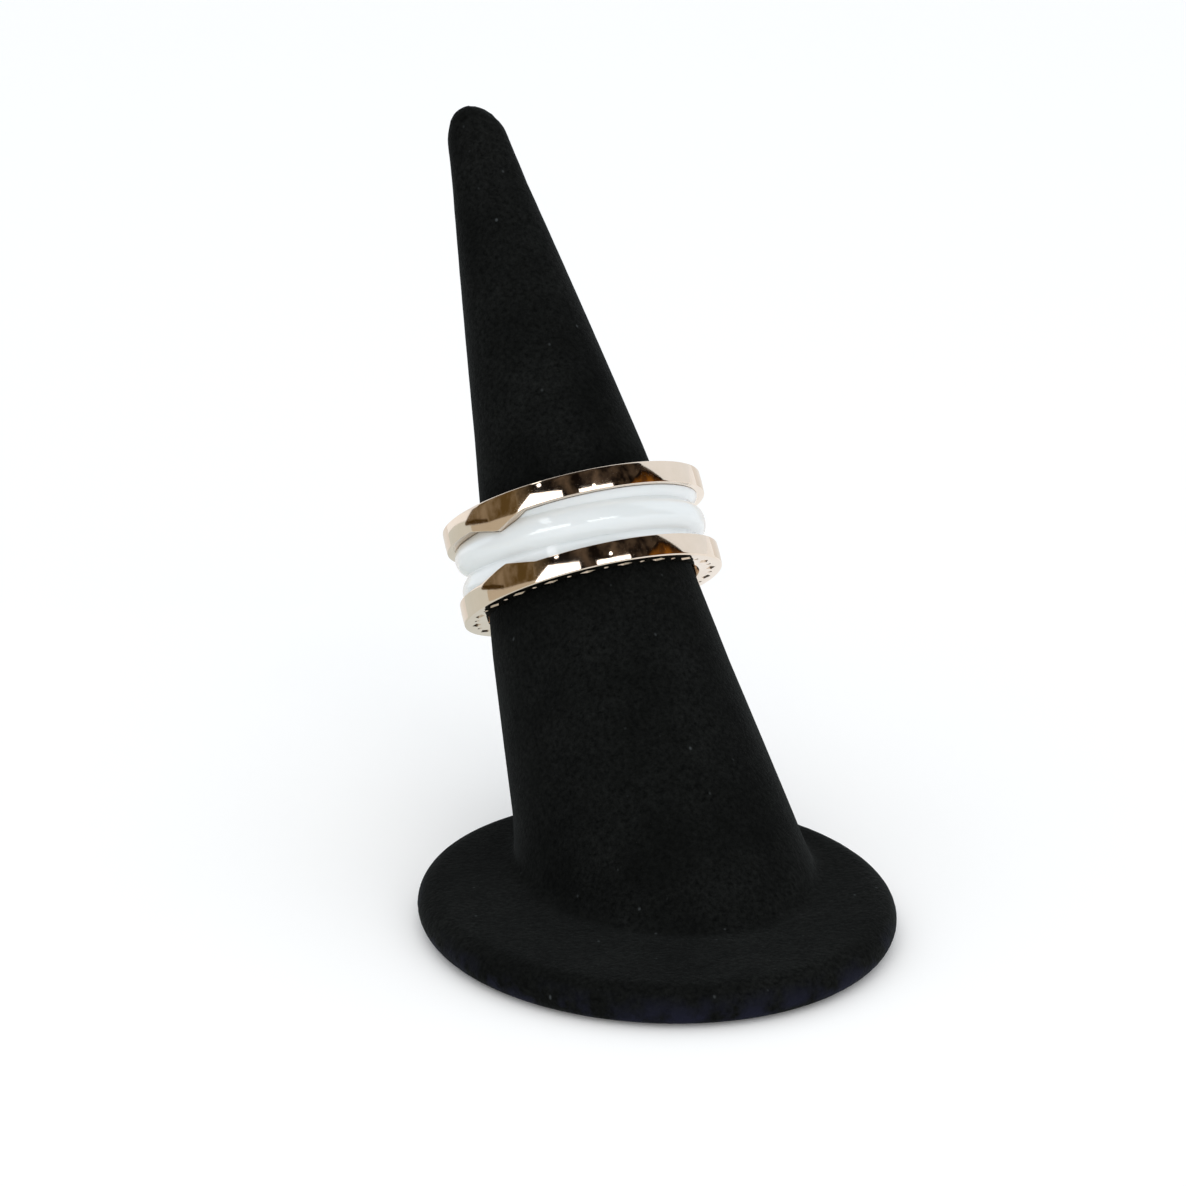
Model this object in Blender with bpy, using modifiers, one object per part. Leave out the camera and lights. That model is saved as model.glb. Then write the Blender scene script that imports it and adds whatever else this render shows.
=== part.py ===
"""A ceramic ring on a slanted cone stand.

The ring has two polished rose-gold rims on a thin gold sleeve, and between them a white glazed ceramic
band shaped as a coil. The stand is a leaning velvet cone on an oval foot. Metres, +Z up; the origin is
at the middle of the foot's underside, and the cone leans towards +Y.
"""
import math

import bmesh
import bpy
from mathutils import Matrix, Vector

MM = 0.001

# Stand
foot_width = 37.8 * MM
foot_length = 41.6 * MM
foot_thickness = 3.4 * MM
foot_edge_round = 1.65 * MM
foot_sides = 72
cone_lean = math.radians(35.5)
cone_offset_x = 2.75 * MM
cone_offset_y = 5.72 * MM
cone_length = 65.0 * MM
cone_root_radius = 11.62 * MM
cone_tip_radius = 2.52 * MM
cone_belly = 0.355 * MM
cone_steps = 48
cone_rings = 13
tip_rings = 4

# Ring
ring_outer_radius = 10.9 * MM
ring_width = 8.07 * MM
ring_tip = math.radians(0.9)
rim_depth = 1.985 * MM
rim_width = 1.83 * MM
rim_edge = 0.16 * MM
rim_crown = 0.03 * MM
sleeve_wall = 0.4 * MM
sleeve_seat = 0.9 * MM
velvet_gap = 0.213 * MM
fit_gap = 0.08 * MM
ring_steps = 96

# The ring is turned so that this side of it faces forward; angles round the ring start there
front_angle = math.radians(247.2)
tooth_start = math.radians(-52)
tooth_tip = math.radians(-35.5)
tooth_end = math.radians(-21)
upper_tooth = 0.95 * MM
lower_tooth = 0.70 * MM

# Ceramic coil
coil_pitch = 2.85 * MM
coil_groove_height = 2.15 * MM
coil_front_dip = 0.6 * MM
coil_crest_inset = 0.46 * MM
coil_groove_depth = 0.76 * MM
coil_roundness = 2.3
coil_shoulder = 0.62
coil_points = 10

# Ornament cut into the rims' side faces
lozenge_count = 20
lozenge_length = 1.3 * MM
lozenge_width = 0.8 * MM
dot_radius = 0.2 * MM
engraving_depth = 0.2 * MM

# Worked out from the sizes above
sleeve_height = ring_width - rim_width + sleeve_seat
cone_axis = Vector((0, math.sin(cone_lean), math.cos(cone_lean)))
cone_root = Vector((cone_offset_x, cone_offset_y, foot_thickness))
dome_height = cone_length - cone_tip_radius
bore_radius = ring_outer_radius - rim_depth
sleeve_radius = bore_radius + sleeve_wall
coil_bore_radius = sleeve_radius + fit_gap
coil_crest_radius = ring_outer_radius - coil_crest_inset
coil_groove_radius = coil_crest_radius - coil_groove_depth


def cone_radius(height):
    """The cone's radius at a height along its own axis: a straight taper with a slight belly."""
    share = height / dome_height
    straight = cone_root_radius + (cone_tip_radius - cone_root_radius) * share
    return straight + 4 * cone_belly * max(share, 0) * (1 - share)


def height_of_radius(radius):
    """The height along its axis at which the cone has this radius: cone_radius, solved for the height."""
    narrowing = cone_root_radius - radius
    taper = cone_root_radius - cone_tip_radius - 4 * cone_belly
    return dome_height * 2 * narrowing / (taper + math.sqrt(taper**2 + 16 * cone_belly * narrowing))


# The ring slides down the cone until its lower end just clears the velvet
ring_height = height_of_radius(bore_radius - velvet_gap) + ring_width / 2
ring_centre = cone_root + ring_height * cone_axis
# and tips a little forward on it
ring_place = (
    Matrix.Translation(ring_centre)
    @ Matrix.Rotation(-cone_lean, 4, "X")
    @ Matrix.Rotation(front_angle, 4, "Z")
    @ Matrix.Rotation(ring_tip, 4, "Y")
    @ Matrix.Rotation(-front_angle, 4, "Z")
)


def clear_scene():
    for old in list(bpy.data.objects):
        bpy.data.objects.remove(old, do_unlink=True)


def new_collection(name):
    made = bpy.data.collections.new(name)
    bpy.context.scene.collection.children.link(made)
    return made


def new_material(name, color, roughness, metallic):
    made = bpy.data.materials.new(name)
    made.use_nodes = True
    shader = made.node_tree.nodes["Principled BSDF"]
    shader.inputs["Base Color"].default_value = (*color, 1)
    shader.inputs["Roughness"].default_value = roughness
    shader.inputs["Metallic"].default_value = metallic
    made.diffuse_color = (*color, 1)
    return made


def add_object(name, bm, collection, material=None):
    bmesh.ops.recalc_face_normals(bm, faces=bm.faces)
    mesh = bpy.data.meshes.new(name)
    bm.to_mesh(mesh)
    bm.free()
    mesh.shade_smooth()
    mesh.set_sharp_from_angle(angle=math.radians(35))
    made = bpy.data.objects.new(name, mesh)
    collection.objects.link(made)
    if material:
        mesh.materials.append(material)
    return made


def as_cutter(helper):
    helper.hide_render = True
    helper.display_type = "WIRE"
    return helper


def boolean(target, helper, operation):
    step = target.modifiers.new(helper.name, "BOOLEAN")
    step.operation = operation
    step.object = helper
    step.solver = "EXACT"


def place_on_cone(piece):
    """Rings are modelled about their own Z axis, then set on the leaning cone."""
    piece.matrix_world = ring_place


def ring_loft(section):
    """A closed ring whose section may change on its way round: section(angle) gives (radius, height) points."""
    bm = bmesh.new()
    loops = []
    for step in range(ring_steps):
        angle = math.tau * step / ring_steps
        turn = angle + front_angle
        across = (math.cos(turn), math.sin(turn))
        points = section(angle if angle <= math.pi else angle - math.tau)
        loops.append([bm.verts.new((r * across[0], r * across[1], z)) for r, z in points])
    for first, second in zip(loops, loops[1:] + loops[:1]):
        for side in range(len(first)):
            after = (side + 1) % len(first)
            bm.faces.new((first[side], second[side], second[after], first[after]))
    return bm


def tooth(angle, height):
    """How far a rim reaches over the ceramic: nothing, but for one pointed tooth."""
    rise = (angle - tooth_start) / (tooth_tip - tooth_start)
    fall = (tooth_end - angle) / (tooth_end - tooth_tip)
    return height * max(0, min(rise, fall))


def upper_edge(angle):
    """The height at which the ceramic's band ends below the upper rim."""
    return ring_width / 2 - rim_width - tooth(angle, upper_tooth)


def lower_edge(angle):
    """The height at which the ceramic's band ends above the lower rim."""
    return rim_width - ring_width / 2 + tooth(angle, lower_tooth)


def rim_face(outside, inside):
    """The rim's outer face from its free side to its ceramic side, with rounded edges and a slight crown."""
    way = math.copysign(1, inside - outside)
    corner = rim_edge * (1 - math.sqrt(0.5))
    return [
        (ring_outer_radius - rim_edge, outside),
        (ring_outer_radius - corner, outside + way * corner),
        (ring_outer_radius, outside + way * rim_edge),
        (ring_outer_radius + rim_crown, (outside + inside) / 2),
        (ring_outer_radius, inside - way * rim_edge),
        (ring_outer_radius - corner, inside - way * corner),
        (ring_outer_radius - rim_edge, inside),
    ]


def lower_rim_section(angle):
    free = -ring_width / 2
    return [
        (bore_radius, free + rim_edge),
        (bore_radius + rim_edge, free),
        *rim_face(free, lower_edge(angle)),
        (sleeve_radius, lower_edge(angle)),
        (sleeve_radius, free + sleeve_height),
        (bore_radius, free + sleeve_height),
    ]


def upper_rim_section(angle):
    free = ring_width / 2
    seat = sleeve_height - ring_width / 2 + fit_gap
    return [
        (bore_radius, free - rim_edge),
        (bore_radius + rim_edge, free),
        *rim_face(free, upper_edge(angle)),
        (sleeve_radius + fit_gap, upper_edge(angle)),
        (sleeve_radius + fit_gap, seat),
        (bore_radius, seat),
    ]


def engraving(name, height, collection):
    """Cutters for a plain band of lozenges and dots in a rim's side face at the given height."""
    bm = bmesh.new()
    middle = (bore_radius + ring_outer_radius) / 2
    for count in range(2 * lozenge_count):
        is_dot = count % 2
        turn = front_angle + math.pi * count / lozenge_count
        size = (dot_radius, dot_radius, 1) if is_dot else (lozenge_width / 2, lozenge_length / 2, 1)
        place = (
            Matrix.Rotation(turn, 4, "Z")
            @ Matrix.Translation((middle, 0, height))
            @ Matrix.Diagonal((*size, 1))
        )
        bmesh.ops.create_cone(
            bm, cap_ends=True, segments=6 if is_dot else 4, radius1=1, radius2=1,
            depth=2 * engraving_depth, matrix=place,
        )
    made = as_cutter(add_object(name, bm, collection))
    place_on_cone(made)
    return made


def groove(angle):
    """The height of the coil's upper groove: it falls by one pitch in each turn, and dips at the front."""
    return coil_groove_height - coil_pitch * angle / math.tau - coil_front_dip * math.cos(angle)


def coil_radius(share):
    """The ceramic's radius at a share of the way from one groove to the next: a rounded ridge."""
    ridge = (1 - abs(2 * share - 1) ** coil_roundness) ** coil_shoulder
    return coil_groove_radius + coil_groove_depth * ridge


def coil_body():
    """A tall coiled tube, with its mesh lines along the grooves; the band's envelope trims it."""
    bm = bmesh.new()
    turns = 2
    rows = []
    for step in range(-turns * ring_steps, turns * ring_steps + 1):
        angle = math.tau * step / ring_steps
        turn = angle + front_angle
        row = []
        for point in range(coil_points + 1):
            share = 0.5 - 0.5 * math.cos(math.pi * point / coil_points)
            radius = coil_radius(share)
            height = groove(angle) - coil_pitch * (1 - share)
            row.append(bm.verts.new((radius * math.cos(turn), radius * math.sin(turn), height)))
        rows.append(row)
    for first, second in zip(rows, rows[1:]):
        for point in range(coil_points):
            bm.faces.new((first[point], second[point], second[point + 1], first[point + 1]))
    bmesh.ops.remove_doubles(bm, verts=bm.verts, dist=1e-7)
    walls = bmesh.ops.extrude_face_region(bm, geom=bm.faces[:], use_keep_orig=True)["geom"]
    inside = coil_bore_radius - sleeve_wall
    for vert in walls:
        if isinstance(vert, bmesh.types.BMVert):
            vert.co.xy *= inside / vert.co.xy.length
    return bm


def coil_envelope_section(angle):
    outside = ring_outer_radius + rim_edge
    return [
        (coil_bore_radius, lower_edge(angle) + fit_gap),
        (outside, lower_edge(angle) + fit_gap),
        (outside, upper_edge(angle) - fit_gap),
        (coil_bore_radius, upper_edge(angle) - fit_gap),
    ]


def make_rims(parts, cutters, gold):
    lower = add_object("lower_rim", ring_loft(lower_rim_section), parts, gold)
    upper = add_object("upper_rim", ring_loft(upper_rim_section), parts, gold)
    for rim, height in ((lower, -ring_width / 2), (upper, ring_width / 2)):
        place_on_cone(rim)
        boolean(rim, engraving(rim.name + "_engraving", height, cutters), "DIFFERENCE")


def make_ceramic(parts, cutters, ceramic):
    coil = add_object("ceramic_coil", coil_body(), parts, ceramic)
    envelope = as_cutter(add_object("coil_envelope", ring_loft(coil_envelope_section), cutters))
    place_on_cone(coil)
    place_on_cone(envelope)
    boolean(coil, envelope, "INTERSECT")


def cone_profile():
    """The cone's outline from its dome down, as (radius, height along its axis)."""
    points = [(0, cone_length)]
    for ring in range(1, tip_rings):
        turn = math.pi / 2 * ring / tip_rings
        points.append((cone_tip_radius * math.sin(turn), dome_height + cone_tip_radius * math.cos(turn)))
    buried = -cone_root_radius * math.sin(cone_lean)
    for ring in range(cone_rings + 1):
        height = dome_height + (1.6 * buried - dome_height) * ring / cone_rings
        points.append((cone_radius(height), height))
    points.append((0, points[-1][1]))
    return points


def make_stand(parts, cutters, velvet):
    bm = bmesh.new()
    verts = [bm.verts.new((r, 0, z)) for r, z in cone_profile()]
    for first, second in zip(verts, verts[1:]):
        bm.edges.new((first, second))
    cone = as_cutter(add_object("cone", bm, cutters))
    screw = cone.modifiers.new("turn", "SCREW")
    screw.steps = screw.render_steps = cone_steps
    screw.use_merge_vertices = True
    screw.merge_threshold = 0.00001
    cone.rotation_euler = (-cone_lean, 0, 0)
    cone.location = cone_root

    below = bmesh.new()
    deep = 4 * foot_length
    place = Matrix.Translation((0, 0, foot_thickness / 2 - deep / 2)) @ Matrix.Scale(deep, 4)
    bmesh.ops.create_cube(below, size=1, matrix=place)
    boolean(cone, as_cutter(add_object("below_foot", below, cutters)), "DIFFERENCE")

    foot = bmesh.new()
    shape = Matrix.Translation((0, 0, foot_thickness / 2)) @ Matrix.Diagonal(
        (foot_width / 2, foot_length / 2, 1, 1)
    )
    bmesh.ops.create_cone(
        foot, cap_ends=True, segments=foot_sides, radius1=1, radius2=1, depth=foot_thickness, matrix=shape
    )
    stand = add_object("cone_stand", foot, parts, velvet)
    edge = stand.modifiers.new("soft edge", "BEVEL")
    edge.width = foot_edge_round
    edge.segments = 4
    edge.limit_method = "ANGLE"
    boolean(stand, cone, "UNION")


def main():
    clear_scene()
    parts = new_collection("ceramic_ring_on_cone_stand")
    cutters = new_collection("cutters")
    gold = new_material("rose_gold", (0.83, 0.60, 0.46), 0.12, 1.0)
    ceramic = new_material("white_ceramic", (0.78, 0.83, 0.85), 0.15, 0.0)
    velvet = new_material("black_velvet", (0.006, 0.0065, 0.006), 0.95, 0.0)
    make_rims(parts, cutters, gold)
    make_ceramic(parts, cutters, ceramic)
    make_stand(parts, cutters, velvet)


main()
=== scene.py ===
import math

import bmesh
import bpy
from mathutils import Matrix, Vector


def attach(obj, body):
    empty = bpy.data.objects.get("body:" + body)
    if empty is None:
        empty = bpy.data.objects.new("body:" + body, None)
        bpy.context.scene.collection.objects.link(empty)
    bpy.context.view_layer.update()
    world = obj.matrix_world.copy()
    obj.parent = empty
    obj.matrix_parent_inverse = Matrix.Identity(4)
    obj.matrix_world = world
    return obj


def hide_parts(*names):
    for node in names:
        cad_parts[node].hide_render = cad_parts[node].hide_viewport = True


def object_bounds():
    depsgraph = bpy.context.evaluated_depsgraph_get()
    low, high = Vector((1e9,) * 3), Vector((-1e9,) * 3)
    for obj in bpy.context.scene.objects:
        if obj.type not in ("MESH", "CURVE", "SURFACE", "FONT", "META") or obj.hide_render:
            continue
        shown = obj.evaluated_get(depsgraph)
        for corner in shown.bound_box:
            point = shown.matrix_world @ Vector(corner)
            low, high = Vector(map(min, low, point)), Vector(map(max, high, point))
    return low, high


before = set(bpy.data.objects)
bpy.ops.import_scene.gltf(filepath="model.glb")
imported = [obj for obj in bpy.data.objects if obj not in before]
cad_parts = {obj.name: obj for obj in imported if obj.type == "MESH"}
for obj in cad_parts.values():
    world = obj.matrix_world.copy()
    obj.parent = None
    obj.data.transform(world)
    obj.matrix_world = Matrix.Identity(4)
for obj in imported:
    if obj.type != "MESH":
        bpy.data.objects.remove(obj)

# The looks of a ceramic ring on a slanted velvet cone: polished rose-gold rims, a white glazed coil
# between them, and a black velvet stand. Metres, +Z up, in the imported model's own frame.

cad_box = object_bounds()
MM = 0.001

# The ring's sizes and place, as in the part's source
cone_lean = math.radians(35.5)
front_angle = math.radians(247.2)
cone_root = Vector((2.75, 5.72, 3.4)) * MM
cone_axis = Vector((0, math.sin(cone_lean), math.cos(cone_lean)))
ring_height = 26.307 * MM
ring_centre = cone_root + ring_height * cone_axis
outer_radius = 10.9 * MM
bore_radius = 8.915 * MM
sleeve_radius = 9.315 * MM
ring_width = 8.07 * MM
ring_tip = math.radians(0.9)
rim_width = 1.83 * MM
rim_crown = 0.03 * MM
sleeve_height = 7.14 * MM
tooth_start = math.radians(-52)
tooth_tip = math.radians(-35.5)
tooth_end = math.radians(-21)
upper_tooth = 0.95 * MM
lower_tooth = 0.70 * MM
coil_pitch = 2.85 * MM
coil_groove_height = 2.15 * MM
coil_front_dip = 0.6 * MM
coil_crest_radius = 10.44 * MM
coil_groove_radius = 9.68 * MM
coil_bore_radius = 9.395 * MM
coil_roundness = 2.3
lozenge_count = 20
lozenge_length = 1.3 * MM
lozenge_width = 0.8 * MM
dot_radius = 0.2 * MM
engraving_depth = 0.2 * MM

# Finer than the part's source: the rims' edges, the fit of the ceramic, and its softer grooves, which are
# filled by a share of their depth at the front
free_edge_round = 0.12 * MM
inner_edge_round = 0.05 * MM
bore_edge_round = 0.16 * MM
close_gap = 0.04 * MM
coil_shoulder = 0.72
coil_valley = 0.2
coil_front_fill = 0.4

# How the velvet cover sits on its solid, at shares of the cone's height: how far it stands out from it
# and how far it leans aside, in mm
cover_offset = ((0.0, 0.10), (0.05, -0.04), (0.9, -0.05), (1.0, 0.15))
cover_lean = ((0.0, -0.06), (0.05, -0.11), (0.26, 0.20), (0.55, 0.06), (0.93, 0.34), (0.97, 0.45), (1.0, 1.0))
foot_sink = 0.3 * MM
tip_rise = 0.6 * MM
tip_start = 0.9

# How finely the surfaces are drawn
ring_columns = 512
face_rows = 18
edge_rows = 5
coil_turns = 3
coil_rows_per_turn = 30
card_steps = 12
velvet_voxel = 0.42 * MM

# The photograph's view
view_down = math.radians(19.922)
view_turn = math.radians(23.696)
view_distance = 450 * MM
view_shift_right = 0.881 * MM
view_shift_up = -3.554 * MM
view_lens = 165.5
view_sensor = 36

# Everything on the ring is built about its own axis, with X towards the viewer
ring_place = (
    Matrix.Translation(ring_centre)
    @ Matrix.Rotation(-cone_lean, 4, "X")
    @ Matrix.Rotation(front_angle, 4, "Z")
    @ Matrix.Rotation(ring_tip, 4, "Y")
)


class Wire:
    """One output socket of a finish; arithmetic on it adds Math nodes to that finish."""

    def __init__(self, finish, socket):
        self.finish = finish
        self.socket = socket

    def maths(self, operation, first, second):
        return self.finish.node("ShaderNodeMath", {"operation": operation}, {0: first, 1: second})

    def __add__(self, other):
        return self.maths("ADD", self, other)

    def __radd__(self, other):
        return self.maths("ADD", other, self)

    def __sub__(self, other):
        return self.maths("SUBTRACT", self, other)

    def __rsub__(self, other):
        return self.maths("SUBTRACT", other, self)

    def __mul__(self, other):
        return self.maths("MULTIPLY", self, other)

    def __rmul__(self, other):
        return self.maths("MULTIPLY", other, self)


class Finish:
    """A material whose nodes are all added by the one method below."""

    def __init__(self, name):
        self.material = bpy.data.materials.new(name)
        self.material.use_nodes = True
        self.tree = self.material.node_tree
        self.tree.nodes.clear()

    def node(self, kind, settings=None, sockets=None, output=0):
        made = self.tree.nodes.new(kind)
        for name, value in (settings or {}).items():
            setattr(made, name, value)
        for name, value in (sockets or {}).items():
            if isinstance(value, Wire):
                self.tree.links.new(value.socket, made.inputs[name])
            else:
                made.inputs[name].default_value = value
        return Wire(self, made.outputs[output]) if made.outputs else None

    def place(self):
        """Where a point of the surface is, in metres, in the piece's own frame."""
        return self.node("ShaderNodeTexCoord", output="Object")

    def stretched(self, scale, place=None):
        """The surface's place, scaled along each axis."""
        return self.node(
            "ShaderNodeVectorMath", {"operation": "MULTIPLY"}, {0: place or self.place(), 1: scale}
        )

    def mottle(self, scale, detail=3.0, roughness=0.55, place=None):
        """Soft noise from 0 to 1, with about this many patches to a metre."""
        return self.node(
            "ShaderNodeTexNoise",
            sockets={
                "Vector": place or self.place(),
                "Scale": scale,
                "Detail": detail,
                "Roughness": roughness,
            },
        )

    def between(self, value, low, high, to_low=0.0, to_high=1.0):
        """The value, with low..high spread to to_low..to_high and held there."""
        return self.node(
            "ShaderNodeMapRange",
            {"clamp": True},
            {"Value": value, "From Min": low, "From Max": high, "To Min": to_low, "To Max": to_high},
        )

    def mixed(self, share, first, second):
        """The first colour, going over to the second as share goes from 0 to 1."""
        return self.node("ShaderNodeMix", {"data_type": "RGBA"}, {0: share, 6: first, 7: second}, output=2)

    def bumps(self, height, distance, strength):
        """A normal that follows this height, in steps of this many metres."""
        return self.node(
            "ShaderNodeBump", sockets={"Height": height, "Distance": distance, "Strength": strength}
        )

    def surface(self, **sockets):
        """Ends the finish with a Principled shader; socket names are written with underscores."""
        named = {name.replace("_", " "): value for name, value in sockets.items()}
        shader = self.node("ShaderNodeBsdfPrincipled", sockets=named)
        self.node("ShaderNodeOutputMaterial", sockets={"Surface": shader})
        return self.material


def polished_gold():
    """Rose gold with the faint hairlines and soft smears of a worn polish."""
    gold = Finish("polished_rose_gold")
    hairlines = gold.mottle(1.0, detail=2.0, place=gold.stretched((900.0, 900.0, 9000.0)))
    smears = gold.mottle(420.0, detail=4.0)
    tone = gold.mixed(gold.between(smears, 0.35, 0.65), (0.82, 0.695, 0.57, 1), (0.86, 0.73, 0.61, 1))
    rough = gold.between(smears, 0.3, 0.7, 0.035, 0.075) + gold.between(hairlines, 0.55, 0.75, 0.0, 0.03)
    return gold.surface(
        Base_Color=tone,
        Metallic=1.0,
        Roughness=rough,
        Normal=gold.bumps(hairlines, 0.0000006, 0.5),
    )


def engraved_gold_with_painted_shade():
    """The cut floors and walls of the ornament: the same gold, matt from the graver, with a darker tone as
    painted shade in the cuts.
    """
    gold = Finish("engraved_rose_gold_with_painted_shade")
    grain = gold.mottle(5200.0, detail=4.0)
    # Darker gold tones, mottled by a fine grain: painted shade in the ornament's cuts
    tone = gold.mixed(gold.between(grain, 0.35, 0.65), (0.66, 0.52, 0.40, 1), (0.84, 0.70, 0.56, 1))
    return gold.surface(
        Base_Color=tone,
        Metallic=1.0,
        Roughness=gold.between(grain, 0.3, 0.7, 0.36, 0.50),
        Normal=gold.bumps(grain, 0.00001, 0.6),
    )


def glazed_ceramic():
    """White ceramic, a little cool, under a hard clear glaze."""
    glaze = Finish("glazed_white_ceramic")
    cloud = glaze.mottle(260.0, detail=3.0)
    ripple = glaze.mottle(900.0, detail=2.0)
    tone = glaze.mixed(glaze.between(cloud, 0.3, 0.7), (0.75, 0.78, 0.78, 1), (0.78, 0.80, 0.80, 1))
    return glaze.surface(
        Base_Color=tone,
        Roughness=glaze.between(ripple, 0.3, 0.7, 0.16, 0.26),
        Coat_Weight=1.0,
        Coat_Roughness=0.04,
        Coat_IOR=1.6,
        Subsurface_Weight=0.5,
        Subsurface_Radius=(1.0, 0.95, 0.9),
        Subsurface_Scale=0.0005,
        Normal=glaze.bumps(ripple, 0.000012, 0.25),
    )


def black_velvet():
    """Short black pile: deep black, with fine grain, brushed patches, stray specks of lint, and a painted
    bluish sheen along the foot's low edge.
    """
    velvet = Finish("black_velvet")
    pile = velvet.mottle(2600.0, detail=4.0, roughness=0.7)
    brushed = velvet.mottle(150.0, detail=5.0, roughness=0.6)
    grain = velvet.between(pile, 0.30, 0.70) * velvet.between(brushed, 0.34, 0.66, 0.35, 1.0)
    tone = velvet.mixed(grain, (0.0030, 0.0032, 0.0030, 1), (0.0125, 0.0132, 0.0124, 1))
    height = velvet.node("ShaderNodeSeparateXYZ", sockets={0: velvet.place()}, output="Z")
    # Low band of the foot: the patchy bluish tone there is painted sheen on the foot's rounded edge, with
    # some lint
    low_edge = velvet.between(height, 0.0028, 0.0008)
    lint_and_painted_sheen = low_edge * velvet.between(velvet.mottle(330.0, detail=4.0), 0.45, 0.62)
    tone = velvet.mixed(lint_and_painted_sheen, tone, (0.0130, 0.0135, 0.0240, 1))
    speck_field = velvet.node(
        "ShaderNodeTexVoronoi",
        {"feature": "F1"},
        {"Vector": velvet.stretched((1.0, 1.0, 0.6)), "Scale": 820.0, "Randomness": 1.0},
    )
    # Specks of lint, more of them along the low band, where some stand for painted glints of the pile
    chosen = velvet.mottle(560.0, detail=0.0) + low_edge * 0.07
    specks = velvet.between(speck_field, 0.13, 0.04) * velvet.between(chosen, 0.58, 0.68)
    tone = velvet.mixed(specks, tone, (0.045, 0.049, 0.050, 1))
    return velvet.surface(
        Base_Color=tone,
        Roughness=0.95,
        Specular_IOR_Level=0.0,
        Sheen_Weight=0.08,
        Sheen_Roughness=0.3,
        Sheen_Tint=(0.8, 0.85, 0.85, 1),
        Normal=velvet.bumps(pile, 0.00012, 0.8),
    )


def painted_card(name, colour, patches=None, to_a_metre=5.0, fading_to=None, way="along", strength=1.0):
    """A glowing finish for the boards that the polished metal mirrors, plain, patchy or fading one way."""
    glowing = Finish(name)
    tone = colour
    if patches:
        mask = glowing.mottle(to_a_metre, detail=5.0, roughness=0.62)
        tone = glowing.mixed(glowing.between(mask, 0.42, 0.64), colour, patches)
    if fading_to:
        share = glowing.node("ShaderNodeAttribute", {"attribute_name": way}, output="Fac")
        ragged = glowing.mottle(2.5 * to_a_metre, detail=4.0)
        tone = glowing.mixed(glowing.between(share + (ragged - 0.5) * 0.7, 0.1, 0.9), tone, fading_to)
    light = glowing.node("ShaderNodeEmission", sockets={"Color": tone, "Strength": strength})
    glowing.node("ShaderNodeOutputMaterial", sockets={"Surface": light})
    return glowing.material


def add_object(name, bm, materials, sharp_degrees=35.0):
    bmesh.ops.recalc_face_normals(bm, faces=bm.faces)
    mesh = bpy.data.meshes.new(name)
    bm.to_mesh(mesh)
    bm.free()
    mesh.shade_smooth()
    mesh.set_sharp_from_angle(angle=math.radians(sharp_degrees))
    for material in materials:
        mesh.materials.append(material)
    made = bpy.data.objects.new(name, mesh)
    bpy.context.scene.collection.objects.link(made)
    return made


def dress(piece, node):
    """The finished piece stands for the CAD node of the same part and moves with it."""
    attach(piece, "root")
    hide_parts(node)


def apply_modifiers(piece):
    shown = bpy.context.evaluated_depsgraph_get()
    mesh = bpy.data.meshes.new_from_object(piece.evaluated_get(shown))
    piece.modifiers.clear()
    piece.data = mesh


def tooth(angle, height):
    """How far a rim reaches over the ceramic: nothing, but for one pointed tooth."""
    rise = (angle - tooth_start) / (tooth_tip - tooth_start)
    fall = (tooth_end - angle) / (tooth_end - tooth_tip)
    return height * max(0.0, min(rise, fall))


def upper_edge(angle):
    """The height at which the upper rim ends, on its ceramic side."""
    return ring_width / 2 - rim_width - tooth(angle, upper_tooth)


def lower_edge(angle):
    """The height at which the lower rim ends, on its ceramic side."""
    return rim_width - ring_width / 2 + tooth(angle, lower_tooth)


def rounded(side, way, size):
    """A quarter-round edge of the outer face, from the side face at this height, up or down by its way."""
    points = []
    for row in range(edge_rows + 1):
        turn = math.pi / 2 * row / edge_rows
        radius = outer_radius - size + size * math.sin(turn)
        height = side + way * size * (1 - math.cos(turn))
        points.append((radius, height))
    return points


def crown(height):
    """How far the rim's outer face stands out: a steady slight curve that goes on into the tooth."""
    off_middle = (abs(height) - ring_width / 2 + rim_width / 2) / (rim_width / 2)
    return rim_crown * (1 - off_middle**2)


def rim_outside(free, inner):
    """The rim's polished outer face with both rounded edges, from its free side to its ceramic side."""
    way = math.copysign(1, inner - free)
    start = free + way * free_edge_round
    end = inner - way * inner_edge_round
    face = []
    for row in range(1, face_rows):
        height = start + (end - start) * row / face_rows
        face.append((outer_radius + crown(height), height))
    near = [(radius + crown(start), height) for radius, height in rounded(free, way, free_edge_round)]
    far = [(radius + crown(end), height) for radius, height in rounded(inner, -way, inner_edge_round)]
    return near + face + far[::-1]


def lower_rim_section(angle):
    free = -ring_width / 2
    return [
        (bore_radius, free + bore_edge_round),
        (bore_radius + 0.3 * bore_edge_round, free + 0.3 * bore_edge_round),
        (bore_radius + bore_edge_round, free),
        *rim_outside(free, lower_edge(angle)),
        (sleeve_radius, lower_edge(angle)),
        (sleeve_radius, free + sleeve_height),
        (bore_radius, free + sleeve_height),
    ]


def upper_rim_section(angle):
    free = ring_width / 2
    seat = sleeve_height - ring_width / 2 + close_gap
    return [
        (bore_radius, free - bore_edge_round),
        (bore_radius + 0.3 * bore_edge_round, free - 0.3 * bore_edge_round),
        (bore_radius + bore_edge_round, free),
        *rim_outside(free, upper_edge(angle)),
        (sleeve_radius + close_gap, upper_edge(angle)),
        (sleeve_radius + close_gap, seat),
        (bore_radius, seat),
    ]


def ring_point(angle, radius, height):
    """A point of the ring, given round its own axis."""
    return ring_place @ Vector((radius * math.cos(angle), radius * math.sin(angle), height))


def ring_loft(section):
    """A closed ring through the sections that the given function draws at each angle."""
    bm = bmesh.new()
    loops = []
    for column in range(ring_columns):
        angle = math.tau * column / ring_columns - math.pi
        loops.append([bm.verts.new(ring_point(angle, r, z)) for r, z in section(angle)])
    for first, second in zip(loops, loops[1:] + loops[:1]):
        for side in range(len(first)):
            after = (side + 1) % len(first)
            bm.faces.new((first[side], second[side], second[after], first[after]))
    return bm


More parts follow.
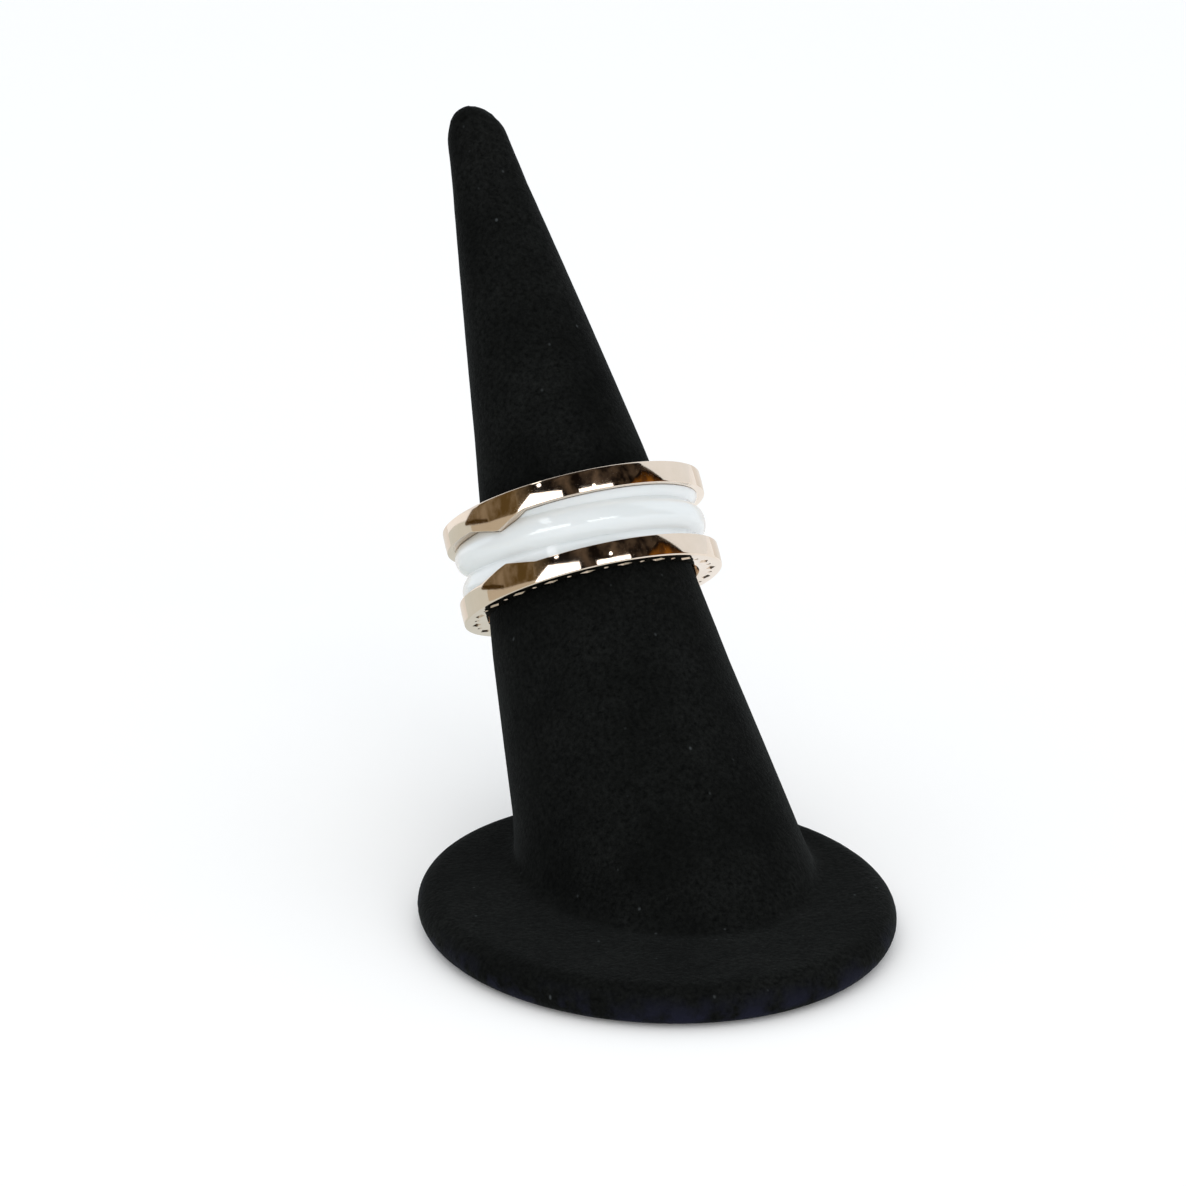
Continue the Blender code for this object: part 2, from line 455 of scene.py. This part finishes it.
def ornament_cutters(name, height, way, material):
    """Sloping-walled cutters for the lozenges and dots in one rim's side face."""
    bm = bmesh.new()
    middle = (bore_radius + outer_radius) / 2
    for count in range(2 * lozenge_count):
        is_dot = count % 2
        across = 2 * dot_radius if is_dot else lozenge_width
        along = 2 * dot_radius if is_dot else lozenge_length
        place = (
            ring_place
            @ Matrix.Rotation(math.pi * count / lozenge_count, 4, "Z")
            @ Matrix.Translation((middle, 0, height))
            @ Matrix.Diagonal((across / 2, along / 2, way, 1))
        )
        bmesh.ops.create_cone(
            bm, cap_ends=True, segments=16 if is_dot else 4, radius1=0.55, radius2=1.45,
            depth=2 * engraving_depth, matrix=place,
        )
    return add_object(name, bm, [material])


def make_rim(name, node, section, height, way, polished, engraved):
    """One rim, with the ornament cut into the side face at this height."""
    rim = add_object(name, ring_loft(section), [polished, engraved])
    cutters = ornament_cutters(name + "_cutters", height, way, engraved)
    cut = rim.modifiers.new("ornament", "BOOLEAN")
    cut.operation = "DIFFERENCE"
    cut.object = cutters
    cut.solver = "EXACT"
    cut.material_mode = "TRANSFER"
    apply_modifiers(rim)
    bpy.data.objects.remove(cutters)
    rim.data.shade_smooth()
    rim.data.set_sharp_from_angle(angle=math.radians(35))
    dress(rim, node)


def groove(angle):
    """The height of the coil's upper groove: it falls by one pitch in each turn, and dips at the front."""
    return coil_groove_height - coil_pitch * angle / math.tau - coil_front_dip * math.cos(angle)


def coil_radius(angle, height):
    """The ceramic's radius: one rounded ridge from each groove to the next, with soft valleys between."""
    away = 1 - abs(2 * ((height - groove(angle)) / coil_pitch % 1) - 1)
    share = 1 - (math.hypot(away, coil_valley) - coil_valley) / (math.hypot(1, coil_valley) - coil_valley)
    ridge = (1 - share**coil_roundness) ** coil_shoulder
    depth = (coil_crest_radius - coil_groove_radius) * (1 - coil_front_fill * max(math.cos(angle), 0.0))
    return coil_crest_radius - depth * (1 - ridge)


def make_ceramic(finish):
    """The coil, with its mesh lines laid along the grooves and held at the band's edges."""
    bm = bmesh.new()
    columns = []
    for column in range(ring_columns):
        angle = math.tau * column / ring_columns - math.pi
        low = lower_edge(angle) + close_gap
        high = upper_edge(angle) - close_gap
        line = [bm.verts.new(ring_point(angle, coil_bore_radius, low))]
        for row in range(coil_turns * coil_rows_per_turn + 1):
            whole, part = divmod(row, coil_rows_per_turn)
            ease = 0.5 - 0.5 * math.cos(math.pi * part / coil_rows_per_turn)
            height = groove(angle) + coil_pitch * (whole - coil_turns + 1 + ease)
            height = min(max(height, low), high)
            line.append(bm.verts.new(ring_point(angle, coil_radius(angle, height), height)))
        line.append(bm.verts.new(ring_point(angle, coil_bore_radius, high)))
        columns.append(line)
    last = len(columns[0]) - 1
    # Where the turn closes, each row meets the row one pitch further down the coil
    shifted = [0] + [max(row - coil_rows_per_turn, 1) for row in range(1, last)] + [last]
    for column in range(ring_columns):
        first = columns[column]
        second = columns[(column + 1) % ring_columns]
        if column == ring_columns - 1:
            second = [second[row] for row in shifted]
        for row in range(last):
            corners = [first[row], second[row], second[row + 1], first[row + 1]]
            if second[row] is second[row + 1]:
                corners.pop(2)
            bm.faces.new(corners)
        bm.faces.new((first[last], second[last], second[0], first[0]))
    bmesh.ops.remove_doubles(bm, verts=bm.verts, dist=1e-7)
    coil = add_object("glazed_coil", bm, [finish], sharp_degrees=75)
    dress(coil, "ceramic_coil")


def at_share(stations, climb):
    """A distance given in mm at shares of the cone's height, found between them."""
    for (below, first), (above, second) in zip(stations, stations[1:]):
        if climb <= above:
            return MM * (first + (second - first) * (climb - below) / (above - below))
    return MM * stations[-1][1]


def make_velvet(finish):
    """The velvet skin: the stand's solid, relaxed into one soft sheet with a full crease."""
    bm = bmesh.new()
    bm.from_mesh(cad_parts["cone_stand"].data)
    bmesh.ops.remove_doubles(bm, verts=bm.verts, dist=1e-6)
    skin = add_object("velvet_skin", bm, [finish], sharp_degrees=180)
    remesh = skin.modifiers.new("even mesh", "REMESH")
    remesh.mode = "VOXEL"
    remesh.voxel_size = velvet_voxel
    soften = skin.modifiers.new("soft crease", "SMOOTH")
    soften.factor = 0.5
    soften.iterations = 6
    apply_modifiers(skin)
    skin.data.materials.clear()
    skin.data.materials.append(finish)
    skin.data.shade_smooth()
    foot_top = cone_root.z
    cone_top = cad_box[1].z
    aside = Vector((-math.cos(view_turn), math.sin(view_turn), 0))
    for vert in skin.data.vertices:
        climb = min(max((vert.co.z - foot_top) / (cone_top - foot_top), 0.0), 1.0)
        sink = foot_sink * max(1 - abs(vert.co.z / foot_top - 1), 0.0)
        rise = tip_rise * max((climb - tip_start) / (1 - tip_start), 0.0) ** 2
        place = vert.co + at_share(cover_offset, climb) * vert.normal + at_share(cover_lean, climb) * aside
        place.z += rise - sink
        place.z = max(place.z, 0.0)
        vert.co = place
    dress(skin, "cone_stand")


def seen_in_polish_only(board):
    """A board that shows in reflections and neither lights nor shades anything."""
    board.visible_camera = False
    board.visible_diffuse = False
    board.visible_transmission = False
    board.visible_shadow = False


def card(name, material, distance, stations):
    """A curved board seen only in reflections, given as (azimuth, low, high) degrees seen from the ring."""
    bm = bmesh.new()
    columns = []
    along = bm.verts.layers.float.new("along")
    up = bm.verts.layers.float.new("up")
    for first, second in zip(stations, stations[1:]):
        for step in range(card_steps + (second is stations[-1])):
            share = step / card_steps
            azimuth, low, high = (math.radians(a + (b - a) * share) for a, b in zip(first, second))
            column = []
            for row in range(card_steps + 1):
                elevation = low + (high - low) * row / card_steps
                level = distance * math.cos(elevation)
                column.append(bm.verts.new(ring_point(azimuth, level, distance * math.sin(elevation))))
            columns.append(column)
    for count, column in enumerate(columns):
        for row, vert in enumerate(column):
            vert[along] = count / (len(columns) - 1)
            vert[up] = row / card_steps
    for first, second in zip(columns, columns[1:]):
        for row in range(card_steps):
            bm.faces.new((first[row], second[row], second[row + 1], first[row + 1]))
    seen_in_polish_only(add_object(name, bm, [material], sharp_degrees=180))


def area_light(name, azimuth, elevation, distance, size, watts, colour):
    """A soft box aimed at the ring, placed by the azimuth and elevation it shines from."""
    lamp = bpy.data.lights.new(name, "AREA")
    lamp.shape = "DISK"
    lamp.size = size
    lamp.energy = watts
    lamp.color = colour
    made = bpy.data.objects.new(name, lamp)
    a = math.radians(azimuth)
    e = math.radians(elevation)
    back = Vector((math.sin(a) * math.cos(e), -math.cos(a) * math.cos(e), math.sin(e)))
    made.location = ring_centre + distance * back
    made.rotation_mode = "QUATERNION"
    made.rotation_quaternion = back.to_track_quat("Z", "Y")
    made.visible_glossy = False
    bpy.context.scene.collection.objects.link(made)


def make_camera():
    """The photograph's own view, found by fitting the stand's and the ring's outlines."""
    forward = Vector((
        math.sin(view_turn) * math.cos(view_down),
        math.cos(view_turn) * math.cos(view_down),
        -math.sin(view_down),
    ))
    right = Vector((math.cos(view_turn), -math.sin(view_turn), 0))
    up = right.cross(forward)
    aim = ring_centre + view_shift_right * right + view_shift_up * up
    lens = bpy.data.cameras.new("photo view")
    lens.lens = view_lens
    lens.sensor_width = view_sensor
    lens.clip_start = 0.01
    lens.clip_end = 20
    camera = bpy.data.objects.new("photo view", lens)
    camera.location = aim - view_distance * forward
    camera.rotation_euler = (math.pi / 2 - view_down, 0, -view_turn)
    bpy.context.scene.collection.objects.link(camera)
    bpy.context.scene.camera = camera


def make_floor():
    bm = bmesh.new()
    bmesh.ops.create_circle(bm, cap_ends=True, segments=96, radius=3.0)
    paper = Finish("floor_paper")
    tone = paper.mixed(paper.mottle(4.0), (0.95, 0.94, 0.93, 1), (0.97, 0.96, 0.95, 1))
    finish = paper.surface(
        Base_Color=tone,
        Roughness=0.9,
        Specular_IOR_Level=0.1,
        Emission_Color=(1.0, 0.97, 0.94, 1),
        Emission_Strength=0.07,
    )
    floor = add_object("floor", bm, [finish])


def make_world(colour, strength):
    world = bpy.data.worlds.new("studio")
    world.use_nodes = True
    backdrop = world.node_tree.nodes["Background"]
    backdrop.inputs["Color"].default_value = colour
    backdrop.inputs["Strength"].default_value = strength
    bpy.context.scene.world = world


def make_table():
    """The shaded table before and left of the stand, with its far edge, and the strip that ends it."""
    tan = painted_card("tan_table", (0.66, 0.69, 0.66, 1))
    strip = painted_card("tan_strip", (0.52, 0.46, 0.36, 1))
    bm = bmesh.new()
    corners = [(-0.26, 0.154), (0.0, 0.060), (0.012, 0.050), (0.012, -0.26), (-0.26, -0.26)]
    bm.faces.new([bm.verts.new((ring_centre.x + x, ring_centre.y + y, 0.0008)) for x, y in corners])
    seen_in_polish_only(add_object("table_sheet", bm, [tan]))
    card("tan_strip_card", strip, 0.119, [(-96, -9, 11.1), (-84, -9, 9.3), (-74.5, -9, 7.8), (-44, -9, 5.4)])


def make_room():
    """The dark room before the ring, its warm patches, and the amber light low at its right end."""
    dark = (0.006, 0.004, 0.003, 1)
    room = painted_card("room", dark, (0.105, 0.076, 0.052, 1))
    wall_end = painted_card("wall_end", (0.15, 0.10, 0.04, 1), (0.24, 0.18, 0.11, 1), 7.0, dark)
    amber = painted_card("amber_lamp", (0.14, 0.055, 0.012, 1), (0.44, 0.17, 0.02, 1), 9.0, dark, "up")
    right_end = [(60, 0, 70), (72, 0, 17.1), (92, 0, 8.1), (100, 0, 3.1)]
    low_right = [(56, 3.6, 8), (68, 3.6, 14), (74, 3.6, 14), (92, 3.6, 8.1), (96, 3.6, 5.6)]
    card("room_card", room, 0.78, [(-60, 0, 70), *right_end])
    card("wall_end_card", wall_end, 0.76, [(-50, 0, 60), (-42, 0, 60), (-24, 0, 60)])
    card("amber_card", amber, 0.74, low_right)


def make_wall():
    """The brown wall at the left, the dark line along its foot, and the pale walls behind the ring."""
    wall = painted_card("brown_wall", (0.10, 0.062, 0.020, 1), (0.26, 0.20, 0.13, 1), 28.0)
    shadow = painted_card("wall_shadow", (0.05, 0.026, 0.005, 1))
    pale = painted_card("pale_wall", (0.80, 0.78, 0.75, 1), (0.87, 0.85, 0.81, 1), 30.0)
    card("wall_card", wall, 0.120, [(-103.5, 12.5, 13.3), (-84, 9.3, 20), (-74.5, 7.8, 59), (-44, 5.4, 59)])
    card("wall_shadow_card", shadow, 0.118, [(-101, 12.6, 13.7), (-88, 10.1, 12.5), (-75, 7.9, 9.7)])
    card("pale_wall_left", pale, 0.050, [(-170, 2, 25), (-132, 2, 25)])
    card("pale_wall_right", pale, 0.050, [(132, 2, 25), (170, 2, 25)])


def make_windows():
    """The two low windows and the tall curtained one, which the ceramic mirrors as an upright bar."""
    window = painted_card("window", (1, 1, 1, 1), strength=3.0)
    curtain = painted_card("lit_curtain", (1, 1, 1, 1), strength=2.2)
    leaning_left = [(-76, 74.5, 79.5), (-63, 71.5, 77.8), (-53, 68, 75), (-40, 55.5, 70), (-30, 31.7, 58)]
    foot_of_it = [(-28, 26, 54.5), (-25.8, 26, 51.5), (-21.5, 26, 32), (-21, 26, 28)]
    card("window_left", window, 0.70, [(-48, 2.1, 5.4), (-32, 2.1, 13.8), (-5, 2.1, 10.4)])
    card("window_right", window, 0.70, [(9.5, 2.1, 8.3), (39.0, 2.1, 8.3)])
    card("tall_window", curtain, 0.70, leaning_left + foot_of_it)


def make_lamps():
    """Two small lamps, which the rims mirror as round glints."""
    lamp = painted_card("lamp", (1, 1, 1, 1), strength=6.0)
    far = [(-24.9, 17.6, 18.3), (-24.1, 17.0, 18.9), (-22.4, 17.0, 18.9), (-21.6, 17.6, 18.3)]
    near = [(20.8, 8.8, 9.5), (21.5, 8.2, 10.1), (22.5, 8.2, 10.1), (23.2, 8.8, 9.5)]
    card("far_lamp", lamp, 0.69, far)
    card("near_lamp", lamp, 0.12, near)


def main():
    bpy.context.scene.view_settings.view_transform = "Standard"
    make_camera()
    polished = polished_gold()
    engraved = engraved_gold_with_painted_shade()
    half = ring_width / 2
    make_rim("lower_rim_polished", "lower_rim", lower_rim_section, -half, -1, polished, engraved)
    make_rim("upper_rim_polished", "upper_rim", upper_rim_section, half, 1, polished, engraved)
    make_ceramic(glazed_ceramic())
    make_velvet(black_velvet())
    make_floor()
    make_world((0.92, 0.96, 1.0, 1), 0.95)
    make_room()
    make_windows()
    make_lamps()
    make_wall()
    make_table()
    area_light(
        "top light", azimuth=-30, elevation=65, distance=0.7, size=0.6, watts=0.7, colour=(1.0, 0.94, 0.86)
    )
    area_light(
        "front light", azimuth=5, elevation=10, distance=0.8, size=0.5, watts=0.75, colour=(1.0, 0.98, 0.95)
    )


main()
